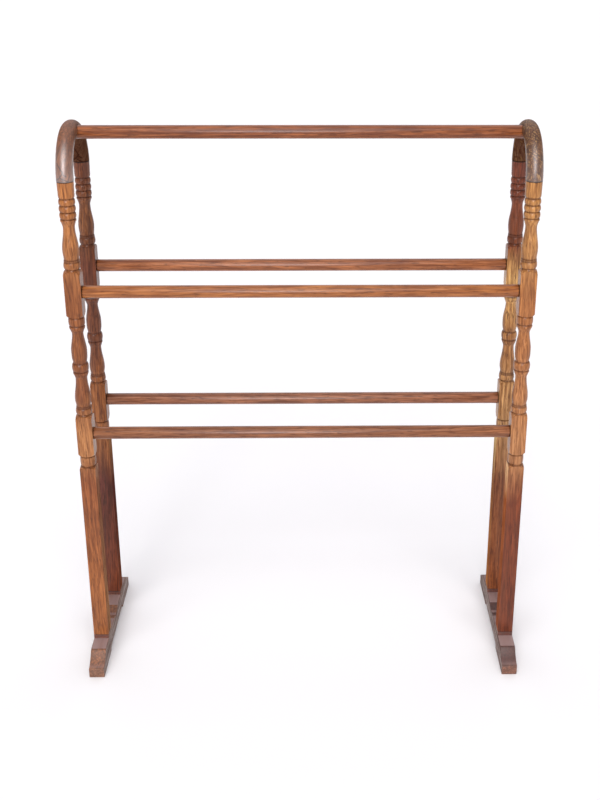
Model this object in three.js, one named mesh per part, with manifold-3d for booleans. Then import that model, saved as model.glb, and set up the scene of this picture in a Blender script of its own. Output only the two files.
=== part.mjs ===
// A free-standing wooden quilt rack.
// Two end frames stand on front-to-back sled feet. Each frame is a pair of turned legs joined at the
// top by a half-round arch. Five round rails tie the frames together. Every joint is glued and rigid.
// Millimetres. X runs along the rails, Y from front to rear, Z up. The origin is on the floor, in the
// middle of the rack.

import * as THREE from 'three';
import { mergeVertices } from 'three/addons/utils/BufferGeometryUtils.js';
import Module from 'manifold-3d';

const wasm = await Module();
wasm.setup();

// Where the pieces stand.
const frameSpacing = 740;      // left leg centres to right leg centres, along X
const legSpacing = 136;        // front leg centre to rear leg centre, along Y
const gap = 0.3;               // clearance left between glued pieces

// Legs: square stock, turned between the square blocks. Lengths are listed from the floor up.
const legStock = 27;           // width of the square stock
const squareLegLength = 343;   // plain square run above the foot
const collarLength = 21;       // round collar above the square run
const lowerBlockLength = 77;   // square block that takes a lower rail
const lowerTurningLength = 178;
const upperBlockLength = 80;   // square block that takes an upper rail
const upperTurningLength = 148;
const pommelHeight = 7;        // rounded shoulder where a square block meets a turning
const neckDiameter = 19;       // thinnest part of the turnings
const grooveDepth = 2.2;       // depth of the cuts between beads, below the full round
const beadCount = 3;
const beadLength = 11;
const capLength = 28;          // plain round run under the arch
const ringLength = 18;         // torus ring beside a block
const filletLength = 7;        // narrow step that starts a neck
const coveLength = 8;          // hollow from a fillet down to a neck
const legTenonDiameter = 16;
const legTenonLength = 22;

// Arches and the dowels that pin them to the legs.
const archDiameter = 27.6;
const dowelDiameter = 10;
const dowelLength = 40;
const dowelChamfer = 1;

// Rails.
const railDiameter = 21;
const topRailDiameter = 22;
const topRailDrop = 5;         // the top rail sits this far below the arch's centre line
const railTenonDiameter = 14;
const railTenonLength = 14;
const railAboveBlockCentre = 2.5;
const archSeatDepth = 5;       // spot-faced seat that takes the top rail's shoulder

// Sled feet.
const footWidth = 27;
const footHeight = 45;         // floor to the legs' shoulders
const stepHeight = 7;          // raised step that each leg stands on
const ledgeLength = 31;        // flat ledge on each side of a step
const toeReach = 63;           // from a leg's face to the end of the toe
const toeHeight = 18;
const valleyHeight = 32;       // lowest point of the top edge between the legs
const reliefHeight = 8;        // hollow under the foot between its pads
const padLength = 76;          // length of each pad on the floor

// Facets.
const turningSides = 16;
const railSides = 16;
const dowelSides = 12;
const archSteps = 16;

const stockRadius = legStock / 2;
const neckRadius = neckDiameter / 2;
const grooveRadius = stockRadius - grooveDepth;
const archRadius = legSpacing / 2;
const legX = frameSpacing / 2;
const legY = legSpacing / 2;

// Heights of the leg's parts, from the floor.
const legBottom = footHeight + gap;
const squareLegTop = legBottom + squareLegLength;
const lowerBlockBottom = squareLegTop + collarLength;
const lowerBlockTop = lowerBlockBottom + lowerBlockLength;
const upperBlockBottom = lowerBlockTop + lowerTurningLength;
const upperBlockTop = upperBlockBottom + upperBlockLength;
const legTop = upperBlockTop + upperTurningLength;
const lowerRailZ = (lowerBlockBottom + lowerBlockTop) / 2 + railAboveBlockCentre;
const upperRailZ = (upperBlockBottom + upperBlockTop) / 2 + railAboveBlockCentre;
const archBaseZ = legTop + gap;
const topRailZ = archBaseZ + archRadius - topRailDrop;

function toSolid(geometry) {
  const bare = geometry.clone();
  bare.deleteAttribute('normal');
  bare.deleteAttribute('uv');
  const merged = mergeVertices(bare, 1e-4);
  return new wasm.Manifold(new wasm.Mesh({
    numProp: 3,
    vertProperties: new Float32Array(merged.attributes.position.array),
    triVerts: new Uint32Array(merged.index.array),
  }));
}

function toGeometry(solid) {
  const mesh = solid.getMesh();
  const geometry = new THREE.BufferGeometry();
  geometry.setAttribute('position', new THREE.BufferAttribute(new Float32Array(mesh.vertProperties), 3));
  geometry.setIndex(new THREE.BufferAttribute(new Uint32Array(mesh.triVerts), 1));
  geometry.computeVertexNormals();
  return geometry;
}

// A profile that is turned from the top down. Radii and heights are absolute.
class Profile {
  constructor(radius, z) {
    this.points = [new THREE.Vector2(0, z), new THREE.Vector2(radius, z)];
  }

  get end() {
    return this.points[this.points.length - 1];
  }

  cut(radius, z) {
    this.points.push(new THREE.Vector2(radius, z));
    return this;
  }

  // A round bead, or with a small crest a hollow, that ends at the given radius and height.
  bead(radius, z, crest, steps = 3) {
    const start = this.end;
    const middle = new THREE.Vector2(2 * crest - (start.x + radius) / 2, (start.y + z) / 2);
    const curve = new THREE.QuadraticBezierCurve(start, middle, new THREE.Vector2(radius, z));
    this.points.push(...curve.getPoints(steps).slice(1));
    return this;
  }

  // An S-curve that leaves and arrives running straight down the leg.
  sweep(radius, z, steps = 3) {
    const start = this.end;
    const half = (start.y - z) / 2;
    const curve = new THREE.CubicBezierCurve(
      start,
      new THREE.Vector2(start.x, start.y - half),
      new THREE.Vector2(radius, z + half),
      new THREE.Vector2(radius, z),
    );
    this.points.push(...curve.getPoints(steps).slice(1));
    return this;
  }

  // A slender vase: it swells from the neck to its belly and closes into a groove.
  vase(length, closeRadius) {
    const top = this.end.y;
    this.sweep(stockRadius - 0.2, top - length * 0.66, 5);
    this.bead(closeRadius, top - length, stockRadius - 0.5, 2);
    return this;
  }

  // A narrow fillet and a cove that lead down to a neck.
  neckBelow() {
    const top = this.end.y;
    this.cut(stockRadius - 1, top - filletLength * 0.3);
    this.bead(stockRadius - 1.6, top - filletLength, stockRadius - 0.8, 2);
    this.sweep(neckRadius, top - filletLength - coveLength, 3);
    return this;
  }

  // The rounded shoulder at the top or bottom of a square block. The turning's cutter leaves the
  // square where its radius passes the corners.
  pommelIn(z) {
    this.cut(grooveRadius + 0.6, z);
    this.bead(legStock * 0.75, z - pommelHeight, stockRadius + 4.4);
    return this;
  }

  pommelOut(z) {
    this.cut(legStock * 0.75, z + pommelHeight);
    this.bead(grooveRadius + 0.6, z, stockRadius + 4.4);
    return this;
  }

  close(z) {
    this.cut(0, z);
    return this.points;
  }
}

function lathe(points, sides) {
  const geometry = new THREE.LatheGeometry(points.slice().reverse(), sides);
  geometry.rotateX(Math.PI / 2);
  return geometry;
}

function rod(diameter, length, sides) {
  const geometry = new THREE.CylinderGeometry(diameter / 2, diameter / 2, length, sides);
  geometry.rotateX(Math.PI / 2);
  return geometry;
}

function upperTurning(profile) {
  const bareLength = capLength + beadCount * beadLength + filletLength + coveLength + ringLength;
  profile.bead(stockRadius - 0.5, legTop - capLength * 0.82, stockRadius - 0.1, 2);
  profile.bead(grooveRadius, legTop - capLength, stockRadius - 0.9, 2);
  for (let i = 1; i <= beadCount; i += 1) {
    profile.bead(grooveRadius, legTop - capLength - i * beadLength, stockRadius);
  }
  profile.neckBelow();
  profile.vase(upperTurningLength - bareLength, grooveRadius + 0.9);
  ringAbove(profile, upperBlockTop);
}

function lowerTurning(profile) {
  const collar = ringLength - 2;
  const middleRing = ringLength + 3;
  const necks = 2 * (filletLength + coveLength);
  const vaseLength = (lowerTurningLength - collar - middleRing - ringLength - necks + filletLength) / 2;
  const collarEnd = upperBlockBottom - collar;
  profile.cut(stockRadius - 0.4, upperBlockBottom - 1.5);
  profile.bead(grooveRadius + 0.6, collarEnd, stockRadius - 0.1);
  profile.neckBelow();
  profile.vase(vaseLength, grooveRadius);
  profile.bead(neckRadius + 2.2, profile.end.y - middleRing, stockRadius + 0.6, 4);
  profile.sweep(neckRadius, profile.end.y - coveLength);
  profile.vase(vaseLength, grooveRadius);
  ringAbove(profile, lowerBlockTop);
}

// A ring with a thin fillet above it, sitting on a block.
function ringAbove(profile, blockTop) {
  const top = profile.end.y;
  const filletEnd = top - (top - blockTop) * 0.3;
  profile.cut(stockRadius - 1, top - 1.5);
  profile.cut(stockRadius - 0.9, filletEnd);
  profile.bead(grooveRadius + 0.4, blockTop + 1, stockRadius);
}

function collarTurning(profile) {
  profile.cut(stockRadius - 0.6, lowerBlockBottom - 2.5);
  profile.bead(stockRadius - 0.6, squareLegTop + 2.5, stockRadius - 0.1, 2);
}

function legSolid(insideSign) {
  const profile = new Profile(stockRadius, legTop);
  upperTurning(profile);
  profile.pommelIn(upperBlockTop);
  profile.pommelOut(upperBlockBottom);
  lowerTurning(profile);
  profile.pommelIn(lowerBlockTop);
  profile.pommelOut(lowerBlockBottom);
  collarTurning(profile);
  profile.pommelIn(squareLegTop);
  profile.cut(legStock * 0.75, legBottom);
  profile.cut(legTenonDiameter / 2, legBottom);
  profile.cut(legTenonDiameter / 2, legBottom - legTenonLength);
  const turned = toSolid(lathe(profile.close(legBottom - legTenonLength), turningSides));

  const blankLength = legTop - legBottom + legTenonLength;
  const blank = new THREE.BoxGeometry(legStock, legStock, blankLength);
  blank.translate(0, 0, legTop - blankLength / 2);

  const dowelHole = rod(dowelDiameter + 2 * gap, dowelLength + 2 * gap, dowelSides);
  dowelHole.translate(0, 0, legTop + gap / 2);

  let solid = turned.intersect(toSolid(blank)).subtract(toSolid(dowelHole));
  for (const z of [lowerRailZ, upperRailZ]) {
    const mortiseDepth = railTenonLength + 2 * gap;
    const mortise = new THREE.CylinderGeometry(
      railTenonDiameter / 2 + gap, railTenonDiameter / 2 + gap, 2 * mortiseDepth, railSides);
    mortise.rotateZ(Math.PI / 2);
    mortise.translate(insideSign * stockRadius, 0, z);
    solid = solid.subtract(toSolid(mortise));
  }
  return solid;
}

class ArchLine extends THREE.Curve {
  getPoint(t, target = new THREE.Vector3()) {
    const angle = Math.PI * t;
    return target.set(0, -archRadius * Math.cos(angle), archRadius * Math.sin(angle));
  }
}

function archSolid(insideSign) {
  const section = new THREE.Shape();
  section.absarc(0, 0, archDiameter / 2, 0, 2 * Math.PI);
  const tube = new THREE.ExtrudeGeometry(section, {
    steps: archSteps,
    curveSegments: railSides / 2,
    extrudePath: new ArchLine(),
  });
  let solid = toSolid(tube);
  for (const side of [-1, 1]) {
    const hole = rod(dowelDiameter + 2 * gap, dowelLength + 2 * gap, dowelSides);
    hole.translate(0, side * archRadius, -gap / 2);
    solid = solid.subtract(toSolid(hole));
  }
  const bores = [
    { radius: topRailDiameter / 2 + gap, depth: archSeatDepth },
    { radius: railTenonDiameter / 2 + gap, depth: archSeatDepth + railTenonLength + 2 * gap },
  ];
  for (const { radius, depth } of bores) {
    const bore = new THREE.CylinderGeometry(radius, radius, 2 * depth, railSides);
    bore.rotateZ(Math.PI / 2);
    bore.translate(insideSign * archDiameter / 2, 0, archRadius - topRailDrop);
    solid = solid.subtract(toSolid(bore));
  }
  return solid;
}

// A rail with a turned-down tenon on each end. The shoulders are the given distance apart.
function railGeometry(shoulderSpan, diameter) {
  const half = shoulderSpan / 2;
  const full = diameter / 2;
  const tenon = railTenonDiameter / 2;
  const end = half + railTenonLength;
  const outline = [
    [0, -end], [tenon, -end], [tenon, -half], [full, -half],
    [full, half], [tenon, half], [tenon, end], [0, end],
  ].map(([r, z]) => new THREE.Vector2(r, z));
  const geometry = new THREE.LatheGeometry(outline, railSides);
  geometry.rotateZ(Math.PI / 2);
  return geometry;
}

function dowelGeometry() {
  const half = dowelLength / 2;
  const radius = dowelDiameter / 2;
  const outline = [
    [0, -half], [radius - dowelChamfer, -half], [radius, -half + dowelChamfer],
    [radius, half - dowelChamfer], [radius - dowelChamfer, half], [0, half],
  ].map(([r, z]) => new THREE.Vector2(r, z));
  const geometry = new THREE.LatheGeometry(outline, dowelSides);
  geometry.rotateX(Math.PI / 2);
  return geometry;
}

// The top and underside edges of half a foot, from the middle out to the toe and back.
function halfFootOutline() {
  const ledgeZ = footHeight - stepHeight;
  const stepIn = legY - stockRadius;
  const stepOut = legY + stockRadius;
  const toeEnd = stepOut + toeReach;
  const ledgeOut = stepOut + ledgeLength;
  const ledgeIn = stepIn - Math.min(ledgeLength, stepIn * 0.6);
  const padEnd = toeEnd - padLength;
  const toeEase = 1.5;
  const ogeeLength = toeEnd - ledgeOut;

  const edge = new THREE.Path();
  edge.moveTo(0, valleyHeight);
  edge.bezierCurveTo(ledgeIn * 0.45, valleyHeight, ledgeIn * 0.75, ledgeZ, ledgeIn, ledgeZ);
  edge.lineTo(stepIn, ledgeZ);
  edge.lineTo(stepIn, footHeight);
  edge.lineTo(stepOut, footHeight);
  edge.lineTo(stepOut, ledgeZ);
  edge.lineTo(ledgeOut, ledgeZ);
  edge.bezierCurveTo(
    ledgeOut + ogeeLength * 0.2, ledgeZ,
    ledgeOut + ogeeLength * 0.3, toeHeight + 4,
    toeEnd - toeEase, toeHeight,
  );
  edge.lineTo(toeEnd, toeHeight - toeEase);
  edge.lineTo(toeEnd, 0);
  edge.lineTo(padEnd, 0);
  edge.quadraticCurveTo(padEnd - 1, reliefHeight, padEnd - 1.5 * reliefHeight, reliefHeight);
  edge.lineTo(0, reliefHeight);
  return edge.getPoints(6);
}

function footSolid() {
  const half = halfFootOutline();
  const mirrored = half.slice(1, -1).reverse().map((point) => new THREE.Vector2(-point.x, point.y));
  const geometry = new THREE.ExtrudeGeometry(new THREE.Shape([...half, ...mirrored]), {
    depth: footWidth,
    bevelEnabled: false,
  });
  geometry.translate(0, 0, -footWidth / 2);
  geometry.rotateX(Math.PI / 2);
  geometry.rotateZ(Math.PI / 2);
  let solid = toSolid(geometry);
  for (const side of [-1, 1]) {
    const mortise = rod(legTenonDiameter + 2 * gap, 2 * (legTenonLength + gap), turningSides);
    mortise.translate(0, side * legY, footHeight);
    solid = solid.subtract(toSolid(mortise));
  }
  return solid;
}

const rack = new THREE.Group();

function addPiece(name, geometry, color, roughness, x, y, z) {
  const material = new THREE.MeshStandardMaterial({ color, roughness, metalness: 0 });
  const mesh = new THREE.Mesh(geometry, material);
  mesh.name = name;
  mesh.position.set(x, y, z);
  rack.add(mesh);
}

const ends = [
  { name: 'left', sign: -1 },
  { name: 'right', sign: 1 },
];
const rows = [
  { name: 'front', sign: -1 },
  { name: 'rear', sign: 1 },
];

for (const end of ends) {
  const x = end.sign * legX;
  addPiece(`${end.name}_arch`, toGeometry(archSolid(-end.sign)), 0x7a4a2a, 0.42, x, 0, archBaseZ);
  addPiece(`${end.name}_foot`, toGeometry(footSolid()), 0x6f4f3a, 0.5, x, 0, 0);
  for (const row of rows) {
    const y = row.sign * legY;
    addPiece(`${end.name}_${row.name}_leg`, toGeometry(legSolid(-end.sign)), 0xa5683c, 0.45, x, y, 0);
    addPiece(`${end.name}_${row.name}_arch_dowel`, dowelGeometry(), 0xd8b98a, 0.7, x, y, legTop + gap / 2);
  }
}

const railSpan = frameSpacing - legStock - 2 * gap;
const topRailSpan = frameSpacing - archDiameter + 2 * archSeatDepth - 2 * gap;
addPiece('top_rail', railGeometry(topRailSpan, topRailDiameter), 0x8a5232, 0.42, 0, 0, topRailZ);
for (const row of rows) {
  const y = row.sign * legY;
  addPiece(`upper_${row.name}_rail`, railGeometry(railSpan, railDiameter), 0x9a5f3a, 0.42, 0, y, upperRailZ);
  addPiece(`lower_${row.name}_rail`, railGeometry(railSpan, railDiameter), 0x8f5636, 0.42, 0, y, lowerRailZ);
}

export default rack;
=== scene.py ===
import math

import bmesh
import bpy
from mathutils import Euler, Matrix, Vector


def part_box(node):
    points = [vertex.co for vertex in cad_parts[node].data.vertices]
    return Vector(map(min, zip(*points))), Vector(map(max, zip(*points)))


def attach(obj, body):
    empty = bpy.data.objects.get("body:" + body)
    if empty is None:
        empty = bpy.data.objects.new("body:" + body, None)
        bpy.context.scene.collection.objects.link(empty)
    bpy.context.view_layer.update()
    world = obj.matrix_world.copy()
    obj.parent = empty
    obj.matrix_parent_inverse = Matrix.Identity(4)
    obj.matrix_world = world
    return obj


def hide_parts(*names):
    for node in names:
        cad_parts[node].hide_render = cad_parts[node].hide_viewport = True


# A wooden quilt rack: turned legs under half-round arches, round rails and sled feet. Metres.

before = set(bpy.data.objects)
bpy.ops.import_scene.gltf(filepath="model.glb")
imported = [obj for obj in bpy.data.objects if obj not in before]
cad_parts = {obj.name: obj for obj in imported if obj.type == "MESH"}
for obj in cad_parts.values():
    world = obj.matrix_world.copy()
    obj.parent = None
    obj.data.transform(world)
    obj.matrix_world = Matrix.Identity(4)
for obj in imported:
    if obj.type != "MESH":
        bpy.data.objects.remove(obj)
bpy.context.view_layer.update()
mm = 0.001


def tone(red, green, blue):
    # A wood tone picked on a 0 to 255 scale, as the linear colour that shaders use.
    return tuple(((c / 255 + 0.055) / 1.055) ** 2.4 if c > 10 else c / 255 / 12.92
                 for c in (red, green, blue)) + (1.0,)


# Camera

cameraSet = {
    "place": (0.023, -1.841, 1.348),
    "pitchDown": 21.31,      # degrees
    "yawRight": 0.89,
    "roll": 0.15,
    "lens": 51.84,
    "shift": (-0.04, -0.10),
}


def addCamera():
    deselectAll()
    bpy.ops.object.camera_add(location=cameraSet["place"])
    camera = bpy.context.object
    camera.name = "rackCamera"
    turn = (Matrix.Rotation(math.radians(-cameraSet["yawRight"]), 3, "Z")
            @ Matrix.Rotation(math.radians(90 - cameraSet["pitchDown"]), 3, "X")
            @ Matrix.Rotation(math.radians(cameraSet["roll"]), 3, "Z"))
    camera.rotation_euler = turn.to_euler()
    camera.data.lens = cameraSet["lens"]
    camera.data.sensor_width = 36
    camera.data.shift_x, camera.data.shift_y = cameraSet["shift"]
    camera.data.clip_end = 50
    bpy.context.scene.camera = camera


# Helpers for working in edit mode

def deselectAll():
    if bpy.context.object and bpy.context.object.mode != "OBJECT":
        bpy.ops.object.mode_set(mode="OBJECT")
    bpy.ops.object.select_all(action="DESELECT")


def makeActive(obj):
    deselectAll()
    obj.select_set(True)
    bpy.context.view_layer.objects.active = obj


def editOn(obj, selectMode="FACE"):
    makeActive(obj)
    bpy.ops.object.mode_set(mode="EDIT")
    bpy.ops.mesh.select_mode(type=selectMode)
    bpy.ops.mesh.select_all(action="DESELECT")


def editOff():
    bpy.ops.object.mode_set(mode="OBJECT")


def pickFaces(obj, test):
    mesh = bmesh.from_edit_mesh(obj.data)
    for face in mesh.faces:
        face.select_set(bool(test(face)))
    bmesh.update_edit_mesh(obj.data)


def pickEdges(obj, test):
    mesh = bmesh.from_edit_mesh(obj.data)
    for edge in mesh.edges:
        edge.select_set(bool(test(edge)))
    bmesh.update_edit_mesh(obj.data)


def applyModifiers(obj):
    makeActive(obj)
    for modifier in list(obj.modifiers):
        bpy.ops.object.modifier_apply(modifier=modifier.name)


def carve(obj, cutter, operation="DIFFERENCE"):
    cut = obj.modifiers.new("carve", "BOOLEAN")
    cut.operation = operation
    cut.solver = "EXACT"
    cut.object = cutter
    applyModifiers(obj)
    bpy.data.objects.remove(cutter)


def roundEdges(obj, width, segments, angle):
    bevel = obj.modifiers.new("roundEdges", "BEVEL")
    bevel.width = width
    bevel.segments = segments
    bevel.limit_method = "ANGLE"
    bevel.angle_limit = math.radians(angle)
    applyModifiers(obj)


def addRod(radius, length, place, axis, vertices):
    deselectAll()
    turn = {"Z": (0, 0, 0), "X": (0, math.pi / 2, 0), "Y": (math.pi / 2, 0, 0)}[axis]
    bpy.ops.mesh.primitive_cylinder_add(
        vertices=vertices, radius=radius, depth=length, location=place, rotation=turn)
    bpy.ops.object.transform_apply(location=True, rotation=True, scale=True)
    return bpy.context.object


def addBlock(size, place):
    deselectAll()
    bpy.ops.mesh.primitive_cube_add(size=1, location=place)
    bpy.context.object.scale = size
    bpy.ops.object.transform_apply(location=True, rotation=True, scale=True)
    return bpy.context.object


def copyPiece(obj):
    twin = obj.copy()
    twin.data = obj.data.copy()
    bpy.context.scene.collection.objects.link(twin)
    return twin


def movePiece(obj, offset, turnZ):
    obj.data.transform(Matrix.Translation(offset) @ Matrix.Rotation(turnZ, 4, "Z"))


def finishPiece(obj, name, material):
    makeActive(obj)
    bpy.ops.object.transform_apply(location=True, rotation=True, scale=True)
    bpy.ops.object.shade_smooth_by_angle(angle=math.radians(30))
    obj.data.materials.clear()
    obj.data.materials.append(material)
    obj.name = name + "_wood"
    obj.data.name = obj.name
    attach(obj, "root")
    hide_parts(name)


# What wear and painted light add: grime with painted shade in cuts and corners, a painted sheen on flat tops,
# and faces left without gloss in a painted tone of their own

def bump(distance, reach):
    return math.exp(-(distance / reach) ** 2)


# Grime with painted shade: a value per vertex that darkens cuts and corners, where grime collects and shade
# falls.
def paintGrimeAndShade(obj, grimeAndShadeAt):
    layer = obj.data.attributes.new("grimeAndShade", "FLOAT", "POINT")
    for vertex in obj.data.vertices:
        layer.data[vertex.index].value = grimeAndShadeAt(vertex.co)


# Painted sheen: a pale tone per face corner where flat tops would reflect the sky.
def paintSheen(obj, sheenAt):
    # The painted sheen lies on a face only, so neighbours round the corner stay clear of it.
    layer = obj.data.attributes.new("paintedSheen", "FLOAT", "CORNER")
    for face in obj.data.polygons:
        for corner in face.loop_indices:
            vertex = obj.data.vertices[obj.data.loops[corner].vertex_index]
            layer.data[corner].value = sheenAt(face.normal, vertex.co)


def leaveMatte(obj, matteWood, isMatte):
    # Faces that were never rubbed up take the wood without its gloss, in a tone of their own that each caller
    # sets to paint how light falls on that side.
    obj.data.materials.append(matteWood)
    for face in obj.data.polygons:
        if isMatte(face):
            face.material_index = 1


# Wood: growth rings round a pith line that runs beside the piece, with fibres and pores along it

woodSet = {
    # growth rings and how far they wander
    "ringGap": 3.6 * mm,
    "ringStops": [(0.0, (0, 0, 0, 1)), (0.62, (0.25, 0.25, 0.25, 1)),
                  (0.9, (1, 1, 1, 1)), (1.0, (0.1, 0.1, 0.1, 1))],
    "wander": 10 * mm,
    "wanderScale": 26.0,
    "wanderStretch": 0.16,
    # noises drawn out along the grain, as scale, stretch, detail and roughness
    "fibres": (420, 0.035, 4.0, 0.62),
    "streaks": (147, 0.035, 3.0, 0.6),
    "bands": (290, 0.085, 4.0, 0.6),
    "dashes": (430, 0.13, 2.0, 0.5),
    "patches": (55.0, 3.0, 0.6),
    # where each noise starts and ends to show
    "streakSpan": (0.50, 0.68),
    "poreSpan": (0.60, 0.66),
    "fleckSpan": (0.36, 0.44),
    "patchSpan": (0.45, 0.7),
    # how the painted sheen thins across the patches
    "sheenSpan": (0.2, 0.6),
    # tones that multiply the ground tone
    "bandStops": [(0.0, (1.26, 1.32, 1.42, 1)), (0.42, (1.07, 1.08, 1.10, 1)),
                  (1.0, (0.64, 0.56, 0.50, 1))],
    "fibreStops": [(0.0, (1.26, 1.24, 1.20, 1)), (1.0, (0.68, 0.60, 0.54, 1))],
    "stopWobble": 0.08,
    # tones laid over it
    "poreTone": tone(58, 28, 16),
    "fleckTone": tone(176, 136, 84),
    # grime with painted shade, laid into cuts, corners and the arch's inner side
    "grimeAndShadeTone": tone(70, 34, 20),
    "grimeAndShadeAmount": 0.75,
    "sootTone": tone(44, 22, 15),
    "sootAmount": 0.9,
    # pale mauve of the painted sheen on the feet's flat tops
    "sheenTone": tone(145, 118, 113),
    "seamRag": 2.6 * mm,
    "seamCore": 0.3 * mm,
    "crackWidth": 1.3 * mm,
    # finish
    "roughness": 0.5,
    "roughnessSpread": 0.16,
    "grimeAndShadeRoughness": 0.25,
    "specular": 0.12,
    "coat": 0.5,
    "coatRoughness": 0.24,
    "coatIndex": 1.5,
    "wornCoat": 0.25,
    # relief
    "bumpHeight": 0.16 * mm,
    "bumpStrength": 0.55,
    "fibreRelief": 0.6,
    "ringRelief": 0.3,
}

matteLook = {"coat": 0.0, "coatIndex": 1.5, "gloss": None, "specular": 0.0, "roughness": 0.8}

grainTurns = {
    "X": (0, -math.pi / 2, 0),
    "Y": (math.pi / 2, 0, 0),
    "Z": (0, 0, 0),
}


class NodeBench:
    # Adds nodes to one material and joins them up.
    def __init__(self, name):
        self.material = bpy.data.materials.new(name)
        self.material.use_nodes = True
        self.tree = self.material.node_tree
        self.shader = self.tree.nodes["Principled BSDF"]

    def add(self, kind, inputs=None, **settings):
        node = self.tree.nodes.new(kind)
        for key, value in settings.items():
            setattr(node, key, value)
        for key, value in (inputs or {}).items():
            self.feed(node.inputs[key], value)
        return node

    def feed(self, socket, value):
        if isinstance(value, bpy.types.NodeSocket):
            self.tree.links.new(value, socket)
        else:
            socket.default_value = value

    def math(self, operation, a, b=0.0, c=0.0, clamp=False):
        node = self.add("ShaderNodeMath", {0: a, 1: b, 2: c}, operation=operation, use_clamp=clamp)
        return node.outputs[0]

    def vector(self, operation, a, b):
        name = "Scale" if operation == "SCALE" else 1
        return self.add("ShaderNodeVectorMath", {0: a, name: b}, operation=operation).outputs[0]

    def length(self, a):
        return self.add("ShaderNodeVectorMath", {0: a}, operation="LENGTH").outputs["Value"]

    def mix(self, amount, a, b, blend="MIX"):
        node = self.add("ShaderNodeMix", data_type="RGBA", blend_type=blend)
        self.feed(node.inputs["Factor"], amount)
        self.feed(node.inputs["A"], a)
        self.feed(node.inputs["B"], b)
        return node.outputs["Result"]

    def noise(self, vector, scale, detail, roughness):
        node = self.add("ShaderNodeTexNoise", {
            "Vector": vector, "Scale": scale, "Detail": detail, "Roughness": roughness})
        return node.outputs["Fac"]

    def span(self, value, low, high, toLow=0.0, toHigh=1.0):
        node = self.add("ShaderNodeMapRange", {
            "Value": value, "From Min": low, "From Max": high, "To Min": toLow, "To Max": toHigh},
            interpolation_type="SMOOTHSTEP")
        return node.outputs["Result"]

    def segmentDistance(self, spot, start, end):
        # How far a point is from the straight line between two points
        run = Vector(end) - Vector(start)
        heading = run.normalized()
        offset = self.vector("SUBTRACT", spot, start)
        dot = self.add("ShaderNodeVectorMath", {0: offset, 1: heading}, operation="DOT_PRODUCT")
        part = self.math("MINIMUM", self.math("MAXIMUM", dot.outputs["Value"]), run.length)
        return self.length(self.vector("SUBTRACT", offset, self.vector("SCALE", heading, part)))

    def ramp(self, value, stops):
        node = self.add("ShaderNodeValToRGB", {"Fac": value})
        elements = node.color_ramp.elements
        elements[0].position, elements[0].color = stops[0]
        elements[1].position, elements[1].color = stops[-1]
        for position, color in stops[1:-1]:
            elements.new(position).color = color
        return node.outputs["Color"]


def seamDistance(bench, place, axis, at, bands):
    # Signed distance from a seam plane, roughened along the grain. An X seam shows at both ends.
    distance = place["XYZ".index(axis)]
    if axis == "X":
        distance = bench.math("ABSOLUTE", distance)
    ragged = bench.math("MULTIPLY_ADD", bands, woodSet["seamRag"], -0.5 * woodSet["seamRag"])
    return bench.math("ADD", bench.math("SUBTRACT", distance, at), ragged)


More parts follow.
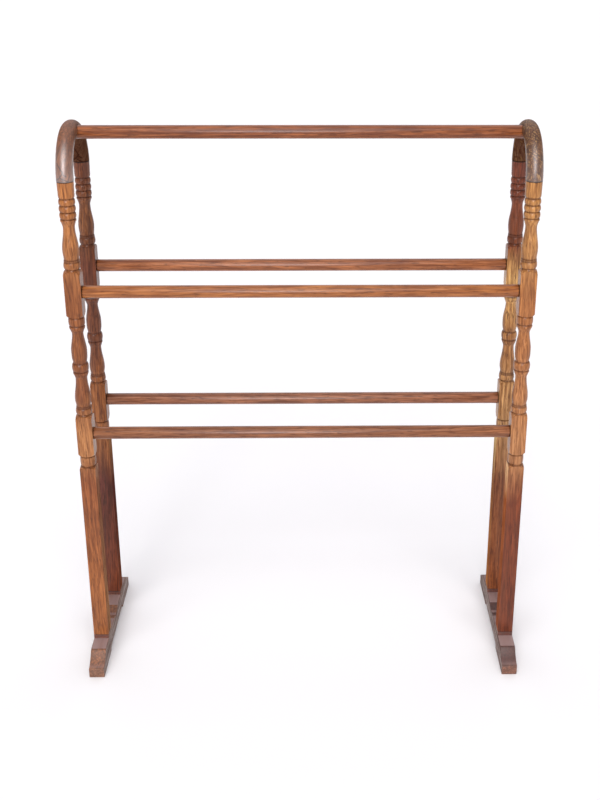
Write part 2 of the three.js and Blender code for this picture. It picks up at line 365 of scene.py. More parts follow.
def wood(name, look, base=None, seams=()):
    # look: grain axis, pith line and its tilt in degrees, dark tone, and how much of it each mark takes.
    # It may add flecks, cracks as (start, end) lines, and gloss as the heights where it starts to wear off.
    # base: (axis, low, high, stops) for a tone that changes along the piece, or None for look["tone"].
    # seams: (axis, place, reach) planes where a dark glue line shows.
    s = woodSet
    bench = NodeBench(name)
    coords = bench.add("ShaderNodeTexCoord").outputs["Object"]
    place = bench.add("ShaderNodeSeparateXYZ", {"Vector": coords}).outputs
    tilt = Euler([math.radians(a) for a in look.get("tilt", (0, 0, 0))])
    spin = tilt.to_matrix() @ Euler(grainTurns[look["grain"]]).to_matrix()
    along = bench.add("ShaderNodeMapping", {
        "Vector": coords, "Location": -(spin @ Vector(look["pith"])),
        "Rotation": spin.to_euler()}).outputs["Vector"]

    def grainNoise(space, scale, stretch, detail, roughness):
        return bench.noise(bench.vector("MULTIPLY", space, (1, 1, stretch)), scale, detail, roughness)

    slow = bench.vector("MULTIPLY", along, (1, 1, s["wanderStretch"]))
    drift = bench.add("ShaderNodeTexNoise", {"Vector": slow, "Scale": s["wanderScale"], "Detail": 2.0})
    drift = bench.vector("SUBTRACT", drift.outputs["Color"], (0.5, 0.5, 0.5))
    wander = bench.vector("SCALE", drift, s["wander"])
    bent = bench.vector("ADD", along, wander)
    reach = bench.length(bench.vector("MULTIPLY", bent, (1, 1, 0)))
    turns = bench.math("DIVIDE", reach, look.get("ringGap", 1) * s["ringGap"])
    rings = bench.ramp(bench.math("FRACT", turns), s["ringStops"])
    fibres = grainNoise(bent, *s["fibres"])
    bands = grainNoise(bent, *s["bands"])
    dashes = grainNoise(along, *s["dashes"])
    streaks = bench.span(grainNoise(bent, *s["streaks"]), *s["streakSpan"])
    pores = bench.span(dashes, *s["poreSpan"])
    patches = bench.noise(slow, *s["patches"])

    ground = look.get("tone")
    if base:
        axis, low, high, stops = base
        height = bench.add("ShaderNodeMapRange", {
            "Value": place["XYZ".index(axis)], "From Min": low, "From Max": high}).outputs["Result"]
        wobble = bench.math("MULTIPLY_ADD", patches, s["stopWobble"], -0.5 * s["stopWobble"])
        ground = bench.ramp(bench.math("ADD", height, wobble), stops)

    bandTone = bench.ramp(bench.span(bands, 0.3, 0.7), s["bandStops"])
    fibreTone = bench.ramp(bench.span(fibres, 0.3, 0.7), s["fibreStops"])
    banded = bench.mix(1.0, ground, bandTone, "MULTIPLY")
    color = bench.mix(look.get("bands", 1.0), ground, banded)
    color = bench.mix(1.0, color, fibreTone, "MULTIPLY")
    blotches = bench.span(patches, *s["patchSpan"])
    overlays = [
        (rings, look["rings"], look["dark"]),
        (streaks, look["streaks"], look["dark"]),
        (blotches, look.get("patches", 0.25), look["dark"]),
        (pores, look["pores"], s["poreTone"]),
    ]
    if "flecks" in look:
        overlays.append((bench.span(dashes, *s["fleckSpan"], 1.0, 0.0), look["flecks"], s["fleckTone"]))

    # Grime with painted shade, read from the mesh
    grimeAndShade = bench.add("ShaderNodeAttribute", attribute_name="grimeAndShade").outputs["Fac"]
    overlays.append((grimeAndShade, s["grimeAndShadeAmount"], s["grimeAndShadeTone"]))

    lines = []
    for axis, at, width in seams:
        distance = bench.math("ABSOLUTE", seamDistance(bench, place, axis, at, bands))
        lines.append(bench.span(distance, s["seamCore"], width, 1.0, 0.0))
    if "cracks" in look:
        facing = bench.vector("MULTIPLY", bench.vector("ADD", coords, wander), (1, 0, 1))
        for start, end in look["cracks"]:
            away = bench.segmentDistance(facing, start, end)
            lines.append(bench.span(away, s["seamCore"], s["crackWidth"], 1.0, 0.0))
    if lines:
        soot = lines[0]
        for line in lines[1:]:
            soot = bench.math("MAXIMUM", soot, line)
        overlays.append((soot, s["sootAmount"], s["sootTone"]))

    # Painted sheen read from the mesh, thinned by the patches
    paintedSheen = bench.add("ShaderNodeAttribute", attribute_name="paintedSheen").outputs["Fac"]
    overlays.append((paintedSheen, bench.span(patches, *s["sheenSpan"], 0.6, 1.0), s["sheenTone"]))
    for mask, amount, overTone in overlays:
        color = bench.mix(bench.math("MULTIPLY", mask, amount, clamp=True), color, overTone)
    bench.feed(bench.shader.inputs["Base Color"], color)

    spread = s["roughnessSpread"]
    rough = bench.math("MULTIPLY_ADD", fibres, spread, look.get("roughness", s["roughness"]) - spread / 2)
    rough = bench.math("ADD", rough, bench.math("MULTIPLY", grimeAndShade, s["grimeAndShadeRoughness"]))
    bench.feed(bench.shader.inputs["Roughness"], rough)
    settings = {"Specular IOR Level": "specular", "Coat Weight": "coat",
                "Coat Roughness": "coatRoughness", "Coat IOR": "coatIndex"}
    for socket, key in settings.items():
        bench.shader.inputs[socket].default_value = look.get(key, s[key])
    if look.get("gloss"):
        worn = bench.span(place["Z"], *look["gloss"], 1.0, s["wornCoat"])
        bench.feed(bench.shader.inputs["Coat Weight"], worn)

    relief = bench.math("SUBTRACT", bench.math("MULTIPLY", fibres, s["fibreRelief"]), pores)
    relief = bench.math("SUBTRACT", relief, bench.math("MULTIPLY", rings, s["ringRelief"]))
    dent = bench.add("ShaderNodeBump", {
        "Strength": s["bumpStrength"], "Distance": s["bumpHeight"], "Height": relief}).outputs["Normal"]
    bench.feed(bench.shader.inputs["Normal"], dent)
    return bench.material


# Legs

legSet = {
    "collarLength": 21 * mm,
    "lowerBlock": 77 * mm,
    "lowerTurning": 178 * mm,
    "upperBlock": 80 * mm,
    "upperTurning": 148 * mm,
    "neck": 9.5 * mm,
    "groove": 11.3 * mm,
    "tenon": 8 * mm,
    "blockEdge": 1.2 * mm,
    "sides": 64,
    "railMortise": 7.3 * mm,
    "railMortiseDepth": 14.6 * mm,
    "dowelHole": 5.3 * mm,
    "dowelHoleLength": 40.6 * mm,
    "footGap": 0.3 * mm,
    "quarterTurns": {"left_front": 0, "right_front": 2, "left_rear": 1, "right_rear": 3},
    # grime with painted shade in the turned grooves
    "grimeAndShadeAmount": 0.8,
    "grimeAndShadeReach": 1.5 * mm,
    "grimeAndShadeRadius": 13.2 * mm,
    "matteLength": 351 * mm,
}

# Tones from the foot (0) up to the arch (1)
legTones = {
    "left_front": [(0.0, tone(150, 92, 46)), (0.38, tone(128, 72, 37)), (0.44, tone(162, 110, 66)),
                   (0.51, tone(160, 108, 64)), (0.58, tone(126, 73, 38)), (0.78, tone(126, 73, 35)),
                   (0.86, tone(158, 103, 57)), (1.0, tone(168, 108, 56))],
    "right_front": [(0.0, tone(91, 42, 23)), (0.34, tone(106, 48, 21)), (0.43, tone(160, 112, 72)),
                    (0.51, tone(160, 110, 68)), (0.62, tone(160, 106, 62)), (0.78, tone(156, 100, 53)),
                    (0.86, tone(170, 122, 70)), (1.0, tone(166, 116, 62))],
    "left_rear": [(0.0, tone(120, 60, 33)), (0.30, tone(86, 40, 30)), (0.42, tone(156, 99, 55)),
                  (0.50, tone(152, 94, 50)), (0.6, tone(122, 70, 40)), (0.78, tone(106, 56, 34)),
                  (0.88, tone(132, 82, 45)), (1.0, tone(118, 64, 38))],
    "right_rear": [(0.0, tone(141, 78, 39)), (0.3, tone(124, 74, 44)), (0.42, tone(182, 138, 90)),
                   (0.52, tone(180, 134, 84)), (0.62, tone(164, 112, 64)), (0.77, tone(224, 176, 108)),
                   (0.84, tone(128, 68, 36)), (1.0, tone(116, 56, 36))],
}

# Painted light: how much paler and greyer the inner side of each leg's lower square run is painted
sideLightTints = {
    "left_front": (1.26, 1.96, 4.1, 1),
    "left_rear": (1.2, 1.7, 2.6, 1),
    "right_front": (2.9, 4.3, 6.0, 1),
    "right_rear": (1.9, 2.6, 3.2, 1),
}

legLooks = {
    "left_front": {"pith": (-0.335, -0.128, 0), "tilt": (1.2, 0.8, 0), "rings": 0.26,
                   "streaks": 0.28, "pores": 0.45, "dark": tone(98, 56, 34)},
    "right_front": {"pith": (0.30, -0.135, 0), "tilt": (-0.7, 1.4, 0), "rings": 0.15,
                    "streaks": 0.16, "pores": 0.35, "dark": tone(112, 66, 40)},
    "left_rear": {"pith": (-0.40, 0.028, 0), "tilt": (1.5, -0.9, 0), "rings": 0.45,
                  "streaks": 0.50, "pores": 0.55, "dark": tone(66, 36, 26)},
    "right_rear": {"pith": (0.345, 0.02, 0), "tilt": (0.6, 1.0, 0), "rings": 0.38,
                   "streaks": 0.42, "pores": 0.60, "dark": tone(84, 46, 28)},
}


class Turning:
    # A profile cut from the top of the leg down, as (radius, height) points.
    def __init__(self, radius, z):
        self.points = [(0.0, z), (radius, z)]

    def cut(self, radius, drop):
        self.points.append((radius, self.points[-1][1] - drop))
        return self

    def cutTo(self, radius, z):
        self.points.append((radius, z))
        return self

    def bead(self, radius, drop, crest, steps=10, power=2.0):
        # A round bead that springs from both its grooves.
        startRadius, top = self.points[-1]
        for i in range(1, steps + 1):
            t = i / steps
            floor = startRadius + (radius - startRadius) * t
            rise = max(0.0, 1 - abs(2 * t - 1) ** power) ** (1 / power)
            self.points.append((floor + (crest - floor) * rise, top - drop * t))
        return self

    def sweep(self, radius, drop, steps=10, lean=0.5):
        # An S-curve; lean moves its middle up or down.
        startRadius, top = self.points[-1]
        for i in range(1, steps + 1):
            t = i / steps
            warped = t ** (math.log(0.5) / math.log(lean))
            ease = warped * warped * (3 - 2 * warped)
            self.points.append((startRadius + (radius - startRadius) * ease, top - drop * t))
        return self

    def quarter(self, radius, drop, steps=6):
        # A quarter round that turns away from the straight into a groove.
        startRadius, top = self.points[-1]
        for i in range(1, steps + 1):
            angle = math.pi / 2 * i / steps
            self.points.append((radius + (startRadius - radius) * math.cos(angle),
                                top - drop * math.sin(angle)))
        return self

    def pommel(self, outer, length, inward, steps=9):
        # The rounded shoulder where the square starts or ends.
        startRadius, top = self.points[-1]
        for i in range(1, steps + 1):
            t = i / steps
            share = t ** 0.55 if inward else 1 - (1 - t) ** 0.55
            self.points.append((startRadius + (outer - startRadius) * share, top - length * t))
        return self


def legProfile(top, half):
    s = legSet
    outer = half * 1.5
    turning = Turning(half - 0.1 * mm, top)
    turning.cut(half, 1.0 * mm)
    turning.sweep(half - 0.35 * mm, 21 * mm, 6)
    turning.quarter(s["groove"], 5.5 * mm)
    turning.cut(s["groove"], 0.5 * mm)
    for crest in (13.35 * mm, 13.5 * mm, 13.5 * mm):
        turning.bead(s["groove"], 11 * mm, crest, 12, 1.8)
    turning.cut(12.1 * mm, 0.4 * mm)
    turning.bead(12.0 * mm, 4.4 * mm, 12.9 * mm, 6)
    turning.cut(11.6 * mm, 0.6 * mm)
    turning.sweep(s["neck"], 9.6 * mm, 10, 0.42)
    turning.sweep(half - 0.05 * mm, 36 * mm, 18, 0.52)
    turning.sweep(12.3 * mm, 16.5 * mm, 10, 0.6)
    turning.cut(11.7 * mm, 0.5 * mm)
    turning.cut(12.6 * mm, 0.7 * mm)
    turning.cut(12.9 * mm, 2.8 * mm)
    turning.cut(12.4 * mm, 0.5 * mm)
    turning.bead(s["groove"], 12.4 * mm, half + 0.3 * mm, 14, 1.8)
    turning.cutTo(12.0 * mm, top - s["upperTurning"])
    turning.pommel(outer, 9 * mm, True)
    turning.cut(outer, s["upperBlock"] - 18 * mm)
    turning.pommel(12.0 * mm, 9 * mm, False)

    blockEnd = top - s["upperTurning"] - s["upperBlock"]
    turning.cut(13.1 * mm, 1.4 * mm)
    turning.bead(12.4 * mm, 13.2 * mm, 13.6 * mm, 10, 1.8)
    turning.cut(11.7 * mm, 0.6 * mm)
    turning.cut(12.0 * mm, 0.5 * mm)
    turning.bead(12.1 * mm, 5.2 * mm, 13.0 * mm, 8)
    turning.sweep(9.35 * mm, 9.6 * mm, 10, 0.40)
    turning.sweep(13.1 * mm, 30 * mm, 16, 0.48)
    turning.cut(13.05 * mm, 7 * mm)
    turning.sweep(11.4 * mm, 14 * mm, 9, 0.62)
    turning.cut(11.2 * mm, 0.6 * mm)
    turning.bead(11.8 * mm, 15.5 * mm, half + 0.4 * mm, 16, 1.8)
    turning.cut(12.7 * mm, 0.6 * mm)
    turning.bead(12.2 * mm, 3.6 * mm, 12.9 * mm, 6)
    turning.sweep(9.7 * mm, 9.4 * mm, 10, 0.42)
    turning.sweep(half, 36 * mm, 18, 0.52)
    turning.sweep(12.1 * mm, 13.4 * mm, 9, 0.62)
    turning.cut(11.8 * mm, 0.6 * mm)
    turning.cut(12.5 * mm, 0.6 * mm)
    turning.cut(12.8 * mm, 2.2 * mm)
    turning.cut(12.3 * mm, 0.5 * mm)
    turning.bead(s["groove"], 12.2 * mm, half + 0.3 * mm, 14, 1.8)
    turning.cutTo(12.0 * mm, blockEnd - s["lowerTurning"])
    turning.pommel(outer, 9 * mm, True)
    turning.cut(outer, s["lowerBlock"] - 18 * mm)
    turning.pommel(12.0 * mm, 9 * mm, False)

    turning.cut(11.6 * mm, 0.7 * mm)
    turning.cut(12.8 * mm, 0.9 * mm)
    turning.bead(11.8 * mm, s["collarLength"] - 3.2 * mm, 13.5 * mm, 12, 2.1)
    turning.cut(11.4 * mm, 0.8 * mm)
    turning.cut(12.2 * mm, 0.8 * mm)
    turning.pommel(outer, 5 * mm, True, 7)
    return turning.points


def grooveHeights(points, half):
    # Heights of the narrow cuts: local lows of the radius, but not the necks.
    heights = []
    for before, here, after in zip(points, points[1:], points[2:]):
        if here[0] <= before[0] and here[0] <= after[0] and here[0] > legSet["neck"] * 1.1:
            heights.append(here[1])
    return heights


def turnedLeg(low, high):
    s = legSet
    half = (high.x - low.x) / 2
    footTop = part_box("left_foot")[1].z + s["footGap"]
    points = legProfile(high.z, half)
    points = points + [(half * 1.5, footTop), (s["tenon"], footTop),
                       (s["tenon"] - 0.6 * mm, low.z), (0.0, low.z)]

    deselectAll()
    bpy.ops.mesh.primitive_circle_add(vertices=3, radius=1, location=(0, 0, 0))
    leg = bpy.context.object
    editOn(leg, "VERT")
    mesh = bmesh.from_edit_mesh(leg.data)
    mesh.verts.ensure_lookup_table()
    for vertex in mesh.verts[1:]:
        vertex.select_set(True)
    bmesh.update_edit_mesh(leg.data)
    bpy.ops.mesh.delete(type="VERT")
    bpy.ops.mesh.select_all(action="SELECT")
    mesh = bmesh.from_edit_mesh(leg.data)
    mesh.verts.ensure_lookup_table()
    start = mesh.verts[0].co.copy()
    bpy.ops.transform.translate(value=Vector((0, 0, points[0][1])) - start)
    for (radiusBefore, zBefore), (radius, z) in zip(points, points[1:]):
        bpy.ops.mesh.extrude_region_move(
            TRANSFORM_OT_translate={"value": (radius - radiusBefore, 0, z - zBefore)})
    bpy.ops.mesh.select_all(action="SELECT")
    bpy.ops.mesh.spin(steps=s["sides"], angle=math.tau, center=(0, 0, 0), axis=(0, 0, 1))
    bpy.ops.mesh.select_all(action="SELECT")
    bpy.ops.mesh.remove_doubles(threshold=0.00001)
    bpy.ops.mesh.normals_make_consistent(inside=False)
    editOff()

    blank = addBlock((2 * half, 2 * half, high.z - low.z + 0.02), (0, 0, (high.z + low.z) / 2))
    editOn(blank, "EDGE")
    pickEdges(blank, lambda edge: abs(edge.verts[0].co.z - edge.verts[1].co.z) > 0.1)
    bpy.ops.mesh.bevel(offset=s["blockEdge"], segments=3, profile=0.6)
    editOff()
    carve(leg, blank, "INTERSECT")
    return leg, grooveHeights(points, half)


def buildLegs():
    s = legSet
    master = None
    for end, inward in (("left", 1), ("right", -1)):
        for row in ("front", "rear"):
            kind = end + "_" + row
            node = kind + "_leg"
            low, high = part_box(node)
            center = Vector(((low.x + high.x) / 2, (low.y + high.y) / 2, 0))
            if master is None:
                master, grooves = turnedLeg(low, high)
            leg = copyPiece(master)
            movePiece(leg, center, s["quarterTurns"][kind] * math.pi / 2)
            cutMortises(leg, center, high.z, inward)
            paintGrimeAndShade(leg, lambda co: legGrimeAndShade(co, center, grooves))
            look = {"grain": "Z", **legLooks[kind]}
            material = wood(kind + "_legWood", look, ("Z", low.z, high.z, legTones[kind]),
                            [("Z", high.z, 1.6 * mm), ("Z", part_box(end + "_foot")[1].z, 1.2 * mm)])
            finishPiece(leg, node, material)
            # Painted light: a paler, greyer copy of the tones for the inner side of the lower square run.
            shades = [(at, tuple(a * b for a, b in zip(shade, sideLightTints[kind])))
                      for at, shade in legTones[kind]]
            sideWood = wood(kind + "_legSideWood", {**look, **matteLook}, ("Z", low.z, high.z, shades))
            matteTop = low.z + s["matteLength"]
            leaveMatte(leg, sideWood,
                       lambda face: face.normal.x * inward > 0.9 and face.center.z < matteTop)
    bpy.data.objects.remove(master)
    print("legs turned")


def cutMortises(leg, center, top, inward):
    s = legSet
    half = (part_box("left_front_leg")[1].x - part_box("left_front_leg")[0].x) / 2
    for rail in ("lower_front_rail", "upper_front_rail"):
        low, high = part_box(rail)
        face = center.x + inward * half
        z = (low.z + high.z) / 2
        carve(leg, addRod(s["railMortise"], 2 * s["railMortiseDepth"], (face, center.y, z), "X", 32))
    carve(leg, addRod(s["dowelHole"], s["dowelHoleLength"], (center.x, center.y, top), "Z", 32))


# Grime with painted shade at each groove of the turned part.
def legGrimeAndShade(co, center, grooves):
    s = legSet
    if math.hypot(co.x - center.x, co.y - center.y) > s["grimeAndShadeRadius"]:
        return 0.0
    return s["grimeAndShadeAmount"] * max(bump(co.z - z, s["grimeAndShadeReach"]) for z in grooves)


# Arches

archSet = {
    "turnSteps": 72,
    "sides": 48,
    "seatGap": 0.3 * mm,
    "seatDepth": 5 * mm,
    "boreRadius": 7.3 * mm,
    "boreDepth": 19.6 * mm,
    "dowelHole": 5.3 * mm,
    "dowelHoleLength": 40.6 * mm,
    # painted shade on the inner side of the arch
    "insideShade": 0.8,
    "seatGrime": 0.9,
    "seatGrimeReach": 2.2 * mm,
    "seamReach": 2.2 * mm,
    "gloss": (0.925, 0.965),
    # painted reflection: a greyer tone for the arch's inward faces, which have no gloss
    "innerReflectionTone": tone(128, 98, 78),
    # in millimetres from the lower outer corner of the left arch, as x, z to x, z
    "cracks": [(0.5, 0.5, 14.5, 15), (5.5, 29, 13.5, 15), (9, 7, 22, 0.5), (14, 12, 18, 9)],
}

archLooks = {
    "left": {"pith": (-0.352, -0.035, 0), "tilt": (14, -20, 0), "rings": 0.45, "streaks": 0.5,
             "pores": 0.75, "patches": 0.5, "ringGap": 1.3, "bands": 0.4, "dark": tone(62, 38, 26),
             "tone": tone(130, 82, 52), "coatRoughness": 0.42, "coatIndex": 2.4},
    "right": {"pith": (0.392, 0.01, 0), "tilt": (-16, 18, 0), "rings": 0.66, "streaks": 0.6,
              "pores": 0.8, "patches": 0.55, "ringGap": 1.1, "bands": 0.9, "dark": tone(58, 36, 24),
              "tone": tone(104, 68, 40), "coatRoughness": 0.40, "coatIndex": 1.9, "flecks": 0.55},
}


def buildArches():
    s = archSet
    for end, inward in (("left", 1), ("right", -1)):
        node = end + "_arch"
        low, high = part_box(node)
        tube = (high.x - low.x) / 2
        sweepRadius = high.z - low.z - tube
        x = (low.x + high.x) / 2
        deselectAll()
        bpy.ops.mesh.primitive_circle_add(
            vertices=s["sides"], radius=tube, location=(x, -sweepRadius, low.z), fill_type="NOTHING")
        arch = bpy.context.object
        bpy.ops.object.transform_apply(location=True, rotation=True, scale=True)
        editOn(arch, "EDGE")
        bpy.ops.mesh.select_all(action="SELECT")
        bpy.ops.mesh.spin(steps=s["turnSteps"], angle=math.pi, center=(x, 0, low.z), axis=(1, 0, 0))
        bpy.ops.mesh.select_all(action="SELECT")
        bpy.ops.mesh.remove_doubles(threshold=0.00001)
        bpy.ops.mesh.fill_holes(sides=0)
        bpy.ops.mesh.select_all(action="SELECT")
        bpy.ops.mesh.normals_make_consistent(inside=False)
        editOff()
        railLow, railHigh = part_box("top_rail")
        railZ = (railLow.z + railHigh.z) / 2
        seatRadius = (railHigh.z - railLow.z) / 2 + s["seatGap"]
        face = x + inward * tube
        carve(arch, addRod(seatRadius, 2 * s["seatDepth"], (face, 0, railZ), "X", 48))
        carve(arch, addRod(s["boreRadius"], 2 * s["boreDepth"], (face, 0, railZ), "X", 32))
        for side in (-1, 1):
            hole = (x, side * sweepRadius, low.z)
            carve(arch, addRod(s["dowelHole"], s["dowelHoleLength"], hole, "Z", 32))

        # Painted shade on the inner side of the arch, and a dark joint ring round the rail's seat.
        def archGrimeAndShade(co):
            reach = math.hypot(co.y, co.z - low.z)
            inside = max(0.0, min(1.0, (sweepRadius + 0.4 * tube - reach) / tube))
            if (co.x - x) * inward <= 0:
                return s["insideShade"] * inside  # the outer side has no seat
            ring = bump(math.hypot(co.y, co.z - railZ) - seatRadius, s["seatGrimeReach"])
            return max(s["seatGrime"] * ring, s["insideShade"] * inside)

        paintGrimeAndShade(arch, archGrimeAndShade)
        look = {"grain": "Z", "gloss": s["gloss"], **archLooks[end]}
        if end == "left":
            look["cracks"] = [((low.x + a * mm, 0, low.z + b * mm), (low.x + c * mm, 0, low.z + d * mm))
                              for a, b, c, d in s["cracks"]]
        seams = [("Z", low.z, s["seamReach"])]
        material = wood(node + "Wood", look, None, seams)
        finishPiece(arch, node, material)
        # Painted reflection: the inward faces take the greyer tone in place of gloss.
        inner = {**look, **matteLook, "tone": s["innerReflectionTone"]}
        innerWood = wood(node + "InnerWood", inner, None, seams)

        def facesIn(face):
            out = Vector((0, face.center.y, face.center.z - low.z)).normalized()
            return out.dot(face.normal) < -0.15

        leaveMatte(arch, innerWood, facesIn)
    print("arches bent")


# Rails

railSet = {
    "sides": 48,
    "tenonRadius": 7 * mm,
    "tenonLength": 14 * mm,
    "shoulderEase": 0.4 * mm,
}

railFinish = {"grain": "X", "coat": 0.9, "coatIndex": 1.38}

railLooks = {
    "top_rail": {"pith": (0, 0.030, 0.935), "tilt": (0, 0.5, 0.8), "rings": 0.5, "streaks": 0.55,
                 "pores": 0.5, "dark": tone(84, 40, 24), "tone": tone(134, 77, 41)},
    "upper_front_rail": {"pith": (0, -0.04, 0.675), "tilt": (0, 0.7, -0.9), "rings": 0.34, "streaks": 0.4,
                         "pores": 0.45, "dark": tone(108, 54, 30), "tone": tone(152, 95, 49)},
    "upper_rear_rail": {"pith": (0, 0.095, 0.69), "tilt": (0, -0.6, 0.5), "rings": 0.45, "streaks": 0.5,
                        "pores": 0.5, "dark": tone(92, 46, 28), "tone": tone(147, 90, 52)},
    "lower_front_rail": {"pith": (0, -0.09, 0.42), "tilt": (0, 0.9, 0.4), "rings": 0.5, "streaks": 0.5,
                         "pores": 0.5, "dark": tone(84, 44, 28), "tone": tone(136, 87, 55)},
    "lower_rear_rail": {"pith": (0, 0.05, 0.425), "tilt": (0, -0.4, 0.8), "rings": 0.42, "streaks": 0.5,
                        "pores": 0.55, "dark": tone(80, 42, 28), "tone": tone(140, 90, 62)},
}


def buildRails():
    s = railSet
    for node, look in railLooks.items():
        low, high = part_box(node)
        center = (low + high) / 2
        radius = (high.z - low.z) / 2
        shoulder = (high.x - low.x) / 2 - s["tenonLength"]
        rail = addRod(radius, 2 * shoulder, center, "X", s["sides"])
        editOn(rail)
        pickFaces(rail, lambda face: abs(face.normal.x) > 0.9)
        bpy.ops.mesh.bevel(offset=s["shoulderEase"], segments=2, affect="EDGES")
        endArea = math.pi * radius ** 2
        pickFaces(rail, lambda face: abs(face.normal.x) > 0.9 and face.calc_area() > 0.5 * endArea)
        bpy.ops.mesh.inset(thickness=radius - s["shoulderEase"] - s["tenonRadius"], use_individual=True)
        pickFaces(rail, lambda face: face.normal.x > 0.9 and len(face.verts) == s["sides"])
        bpy.ops.mesh.extrude_region_move(TRANSFORM_OT_translate={"value": (s["tenonLength"], 0, 0)})
        pickFaces(rail, lambda face: face.normal.x < -0.9 and len(face.verts) == s["sides"])
        bpy.ops.mesh.extrude_region_move(TRANSFORM_OT_translate={"value": (-s["tenonLength"], 0, 0)})
        editOff()
        material = wood(node + "Wood", {**railFinish, **look}, None, [("X", shoulder, 1.8 * mm)])
        finishPiece(rail, node, material)
    print("rails turned")


# Feet

footSet = {
    "stepHeight": 7 * mm,
    "ledge": 31 * mm,
    "toeHeight": 18 * mm,
    "valley": 32 * mm,
    "relief": 8 * mm,
    "padLength": 76 * mm,
    "edge": 0.9 * mm,
    "mortise": 8.3 * mm,
    "mortiseDepth": 22.3 * mm,
    "tones": {"left": tone(128, 88, 64), "right": tone(122, 80, 60)},
    "slopeTones": {"left": tone(128, 80, 48), "right": tone(74, 38, 30)},
    "stepTone": tone(98, 44, 28),
    # painted reflection: grey tones for the foot's inner side, which has no gloss
    "sideReflectionTones": [(0.0, tone(160, 148, 146)), (0.5, tone(172, 162, 160)), (1.0, tone(154, 138, 132))],
}

footFinish = {"grain": "Y", "pores": 0.6, "coat": 1.0, "coatRoughness": 0.5}

footLooks = {
    "left": {"pith": (-0.352, 0, -0.03), "tilt": (0.8, 0, 1.2), "rings": 0.45, "streaks": 0.45,
             "patches": 0.4, "dark": tone(84, 58, 44)},
    "right": {"pith": (0.39, 0, -0.02), "tilt": (-0.9, 0, 1.0), "rings": 0.5, "streaks": 0.5,
              "patches": 0.55, "dark": tone(72, 46, 38)},
}


def bezier(a, b, c, d, t):
    u = 1 - t
    return u ** 3 * a + 3 * u * u * t * b + 3 * u * t * t * c + t ** 3 * d


def footEdge(half, ledgeZ, stepIn, stepOut):
    # Stations from the middle out to the toe, as (distance, height) of the foot's top edge.
    s = footSet
    ledgeIn = stepIn - min(s["ledge"], stepIn * 0.6)
    ledgeOut = stepOut + s["ledge"]
    run = half - ledgeOut
    stations = []
    for i in range(9):
        t = i / 8
        stations.append((bezier(0, ledgeIn * 0.45, ledgeIn * 0.75, ledgeIn, t),
                         bezier(s["valley"], s["valley"], ledgeZ, ledgeZ, t)))
    stations += [(ledgeIn + 1 * mm, ledgeZ), (stepIn, ledgeZ), (stepOut, ledgeZ), (ledgeOut - 1 * mm, ledgeZ)]
    for i in range(15):
        t = i / 14
        stations.append((bezier(ledgeOut, ledgeOut + run * 0.2, ledgeOut + run * 0.3, half, t),
                         bezier(ledgeZ, ledgeZ, s["toeHeight"] + 4 * mm, s["toeHeight"], t)))
    return stations


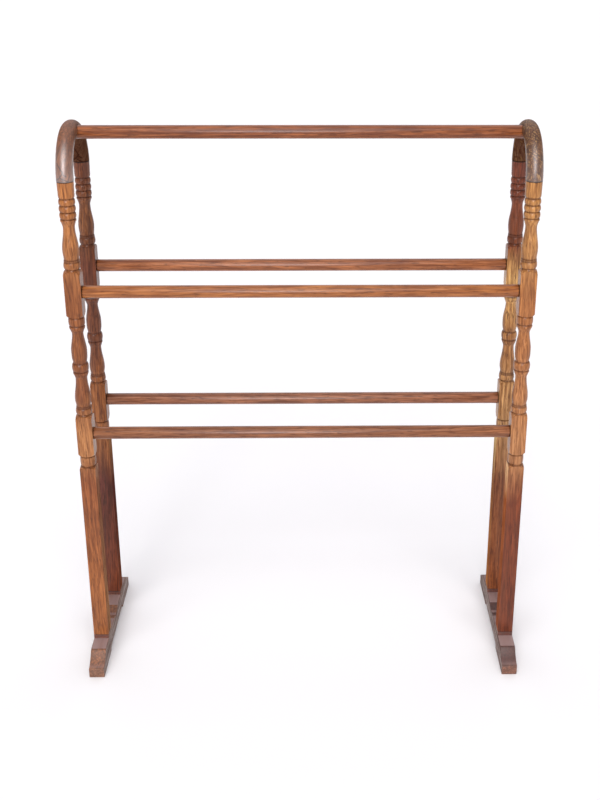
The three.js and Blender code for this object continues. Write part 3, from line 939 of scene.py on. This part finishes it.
def buildFeet():
    s = footSet
    for end, inward in (("left", 1), ("right", -1)):
        node = end + "_foot"
        low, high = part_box(node)
        legLow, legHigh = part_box(end + "_rear_leg")
        x = (low.x + high.x) / 2
        width = high.x - low.x
        ledgeZ = high.z - s["stepHeight"]
        stations = footEdge(high.y, ledgeZ, legLow.y, legHigh.y)
        stations = [(-y, z) for y, z in reversed(stations[1:])] + stations

        deselectAll()
        bpy.ops.mesh.primitive_plane_add(
            size=1, location=(x, stations[0][0], 0.5), rotation=(math.pi / 2, 0, 0))
        foot = bpy.context.object
        bpy.ops.object.transform_apply(location=True, rotation=True, scale=True)
        editOn(foot)
        bpy.ops.mesh.select_all(action="SELECT")
        bpy.ops.transform.resize(value=(width, 1, stations[0][1]), center_override=(x, 0, 0))
        for (yBefore, zBefore), (y, z) in zip(stations, stations[1:]):
            bpy.ops.mesh.extrude_region_move(TRANSFORM_OT_translate={"value": (0, y - yBefore, 0)})
            bpy.ops.transform.resize(value=(1, 1, z / zBefore), center_override=(x, 0, 0))
        bpy.ops.mesh.select_all(action="SELECT")
        bpy.ops.mesh.remove_doubles(threshold=0.00001)
        bpy.ops.mesh.normals_make_consistent(inside=False)
        pickFaces(foot, lambda face: face.normal.z > 0.9
                  and legLow.y < abs(face.calc_center_median().y) < legHigh.y)
        bpy.ops.mesh.extrude_region_move(TRANSFORM_OT_translate={"value": (0, 0, s["stepHeight"])})
        pickFaces(foot, lambda face: abs(face.normal.x) > 0.9)
        bpy.ops.mesh.dissolve_limited(angle_limit=math.radians(0.5))
        editOff()

        hollow = addBlock((width + 0.02, 2 * (high.y - s["padLength"]), 2 * s["relief"]), (x, 0, 0))
        editOn(hollow, "EDGE")
        pickEdges(hollow, lambda edge: abs(edge.verts[0].co.x - edge.verts[1].co.x) > width)
        bpy.ops.mesh.bevel(offset=s["relief"] * 0.9, segments=6)
        editOff()
        carve(foot, hollow)
        roundEdges(foot, s["edge"], 3, 30)
        for row in (-1, 1):
            y = row * (legLow.y + legHigh.y) / 2
            carve(foot, addRod(s["mortise"], 2 * s["mortiseDepth"], (x, y, high.z), "Z", 32))
        stepTone = (ledgeZ + 1 * mm) / high.z
        toe = s["toeHeight"] / high.z
        shades = [(0.0, s["tones"][end]), (toe - 0.04, s["tones"][end]), (toe + 0.06, s["slopeTones"][end]),
                  (stepTone - 0.03, s["slopeTones"][end]), (stepTone, s["stepTone"])]
        look = {**footFinish, **footLooks[end]}
        material = wood(node + "Wood", look, ("Z", 0, high.z, shades), [("Z", high.z, 1.2 * mm)])

        # Painted sheen: full on the ledge, weaker on other flat tops, and a band along the toe lip.
        def footSheen(normal, co):
            if normal.z > 0.985:
                return 1.0 if abs(co.z - ledgeZ) < 0.5 * mm else 0.6
            if normal.z < 0.35 or abs(co.y) > high.y - 1 * mm:
                return 0.0
            return 0.45 * bump(co.z - s["toeHeight"], 3 * mm)

        paintSheen(foot, footSheen)
        finishPiece(foot, node, material)
        # Painted reflection: the inner side takes the grey tones in place of gloss.
        side = {**look, **matteLook, "bands": 0.5}
        sideWood = wood(node + "SideWood", side, ("Z", 0, high.z, s["sideReflectionTones"]))
        leaveMatte(foot, sideWood, lambda face: face.normal.x * inward > 0.9)
    print("feet shaped")


# Dowels hidden in the arch joints keep their CAD shape

def finishDowels():
    look = {"grain": "Z", "pith": (0.2, 0.1, 0), "rings": 0.15, "streaks": 0.1, "pores": 0.3,
            "dark": tone(176, 138, 96), "tone": tone(220, 188, 146), "coat": 0.0, "roughness": 0.6}
    material = wood("dowelWood", look)
    for name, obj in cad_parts.items():
        if name.endswith("_dowel"):
            obj.data.materials.clear()
            obj.data.materials.append(material)
    print("dowels finished")


# Floor, sky and lights

stageSet = {
    "floorSize": 600.0,
    "floorTone": (0.88, 0.88, 0.88, 1),
    "floorRoughness": 0.9,
    "floorSpecular": 0.1,
    "skyTop": (0.46, 0.46, 0.50, 1),
    "skyLow": (0.30, 0.29, 0.28, 1),
    "skyStrength": 1.0,
}

# name, direction the light comes from, softness in degrees, strength, colour
lightSet = [
    ("frontSky", (-0.05, -0.62, 0.78), 54, 1.75, (1.0, 0.985, 0.98)),
    ("frontLow", (-0.08, -0.95, 0.30), 26, 1.6, (1.0, 0.95, 0.97)),
    ("backSky", (0.0, 0.62, 0.78), 80, 0.9, (0.96, 0.94, 1.0)),
]


def buildStage():
    deselectAll()
    bpy.ops.mesh.primitive_plane_add(size=stageSet["floorSize"], location=(0, 0, 0))
    floor = bpy.context.object
    floor.name = "studioFloor"
    bench = NodeBench("floorPaper")
    bench.shader.inputs["Base Color"].default_value = stageSet["floorTone"]
    bench.shader.inputs["Roughness"].default_value = stageSet["floorRoughness"]
    bench.shader.inputs["Specular IOR Level"].default_value = stageSet["floorSpecular"]
    floor.data.materials.append(bench.material)

    world = bpy.data.worlds.new("studioSky")
    bpy.context.scene.world = world
    world.use_nodes = True
    nodes, links = world.node_tree.nodes, world.node_tree.links
    background = nodes["Background"]
    direction = nodes.new("ShaderNodeTexCoord")
    parts = nodes.new("ShaderNodeSeparateXYZ")
    blend = nodes.new("ShaderNodeMix")
    blend.data_type = "RGBA"
    links.new(direction.outputs["Generated"], parts.inputs[0])
    links.new(parts.outputs["Z"], blend.inputs["Factor"])
    blend.inputs["A"].default_value = stageSet["skyLow"]
    blend.inputs["B"].default_value = stageSet["skyTop"]
    links.new(blend.outputs["Result"], background.inputs["Color"])
    background.inputs["Strength"].default_value = stageSet["skyStrength"]

    for name, source, softness, strength, color in lightSet:
        deselectAll()
        bpy.ops.object.light_add(type="SUN", location=Vector(source) * 4)
        light = bpy.context.object
        light.name = name
        light.data.angle = math.radians(softness)
        light.data.energy = strength
        light.data.color = color
        light.rotation_euler = (-Vector(source)).to_track_quat("-Z", "Y").to_euler()
    bpy.context.scene.view_settings.view_transform = "Standard"
    print("stage set")


addCamera()
buildStage()
buildLegs()
buildArches()
buildRails()
buildFeet()
finishDowels()
